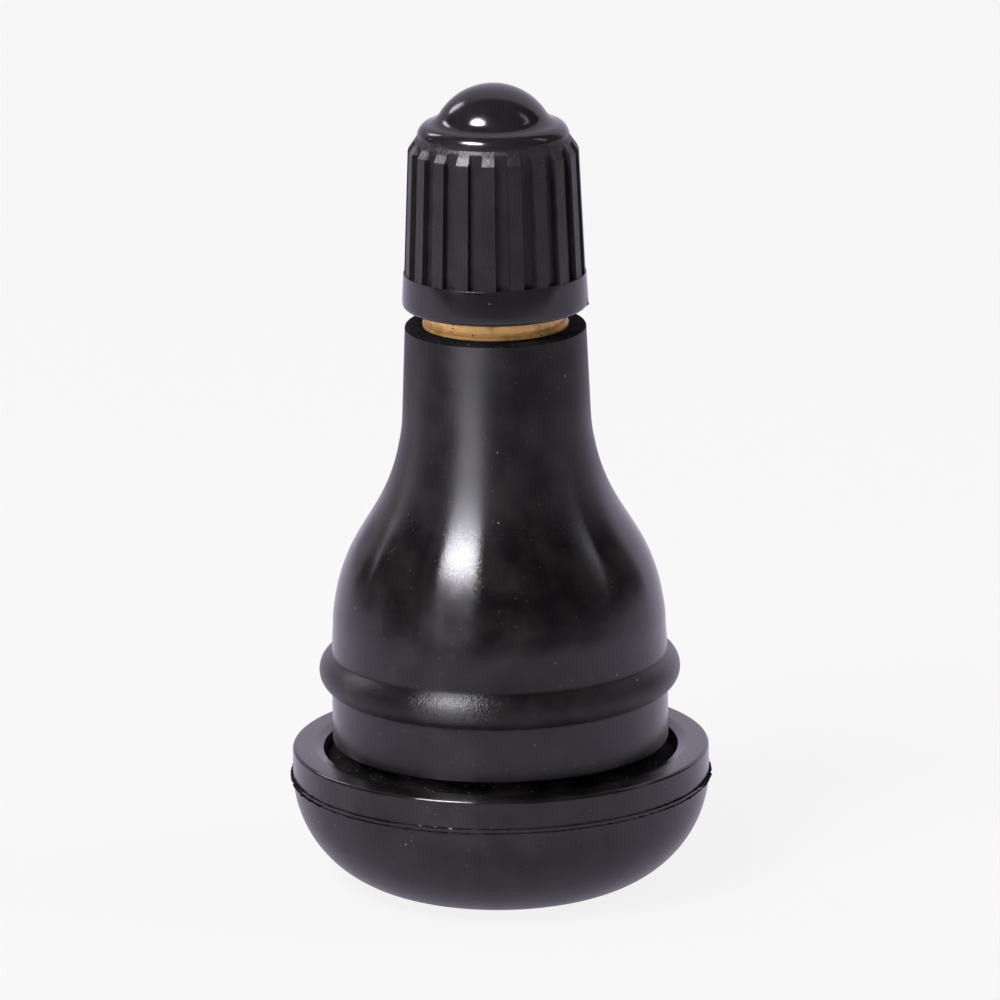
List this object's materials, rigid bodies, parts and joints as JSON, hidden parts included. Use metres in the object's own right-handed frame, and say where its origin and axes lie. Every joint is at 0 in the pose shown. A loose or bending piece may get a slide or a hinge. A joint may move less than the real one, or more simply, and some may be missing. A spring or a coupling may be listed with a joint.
{
  "type": "tyre valve",
  "caption": "Snap-in rubber tyre valve: domed base, rim seat and bead, tapering neck, brass stem with a sprung core, ribbed screw cap.",
  "frame": {"origin": "centre of the base's flat ring, on the valve's axis", "axes": "+Z along the stem, from the base towards the cap; the parts are turned about it"},
  "size_m": [0.0242, 0.0242, 0.0462],
  "materials": {
    "rubber": "satin black moulded rubber",
    "brass": "turned brass",
    "cap_plastic": "black moulded plastic, glossy crown, satin ribs",
    "seal_rubber": "matt sealing rubber",
    "gasket_red": "smooth red sealing ring",
    "spring_steel": "drawn wire"
  },
  "bodies": {
    "valve": {"rubber_body": "rubber", "valve_stem": "brass"},
    "seal": {"cap_seal": "seal_rubber"},
    "cap": {"valve_cap": "cap_plastic"},
    "core": {"core_barrel": "brass", "barrel_gasket": "gasket_red", "core_spring": "spring_steel"},
    "plug": {"core_plug": "brass"},
    "pin": {"core_pin": "brass", "pin_cup": "brass", "cup_gasket": "seal_rubber"}
  },
  "joints": [
    {"name": "cap_lift", "type": "slide", "parent": "valve", "child": "seal", "axis": [0, 0, 1], "range_m": [0, 0.00873]},
    {"name": "cap_turn", "type": "hinge", "parent": "seal", "child": "cap", "pos_m": [0, 0, 0.04188], "axis": [0, 0, 1], "range_deg": [0, 3961]},
    {"name": "core_lift", "type": "slide", "parent": "valve", "child": "core", "axis": [0, 0, 1], "range_m": [0, 0.000846]},
    {"name": "core_turn", "type": "hinge", "parent": "core", "child": "plug", "pos_m": [0, 0, 0.04188], "axis": [0, 0, 1], "range_deg": [0, 433]},
    {"name": "pin_press", "type": "slide", "parent": "core", "child": "pin", "axis": [0, 0, -1], "range_m": [0, 0.0015], "stiffness_N_per_m": 300, "springref_m": -0.003, "deforming": ["core_spring"]}
  ],
  "couplings": [
    {"joint": "cap_turn", "follows": "cap_lift", "rad_per_m": 7915.8},
    {"joint": "core_turn", "follows": "core_lift", "rad_per_m": 8905.2}
  ]
}
